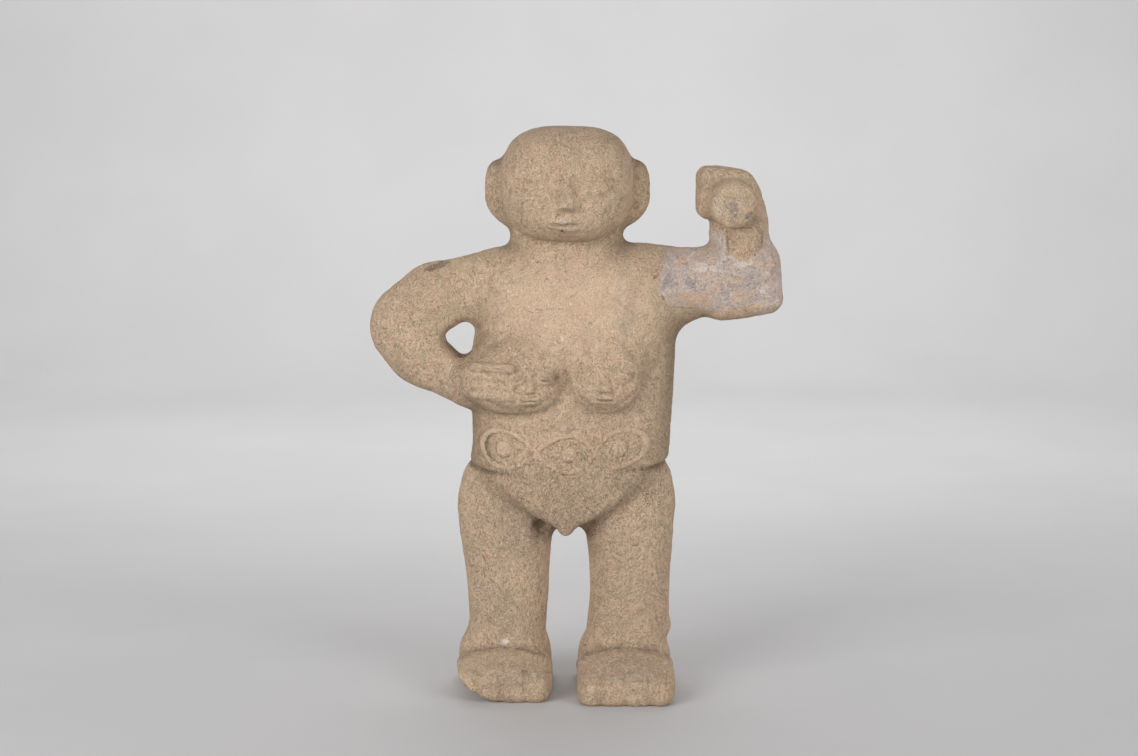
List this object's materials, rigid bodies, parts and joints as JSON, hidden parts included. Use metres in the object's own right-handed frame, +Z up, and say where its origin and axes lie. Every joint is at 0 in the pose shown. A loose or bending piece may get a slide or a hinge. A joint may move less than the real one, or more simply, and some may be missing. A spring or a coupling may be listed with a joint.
{
  "type": "standing stone figure",
  "caption": "Carved stone figure standing on its own feet, with an arm raised, the other bent to the chest, small carved heads on the chest and a braided belt.",
  "frame": {"origin": "on the floor plane, under the centre of the figure's bounding box", "axes": "+Z up; the figure faces -Y; +X is to the right of someone who faces it"},
  "size_m": [0.44, 0.1624, 0.604],
  "materials": {
    "stone": "rough, pecked and worn volcanic stone"
  },
  "bodies": {
    "root": {"figure": "stone"}
  },
  "joints": []
}
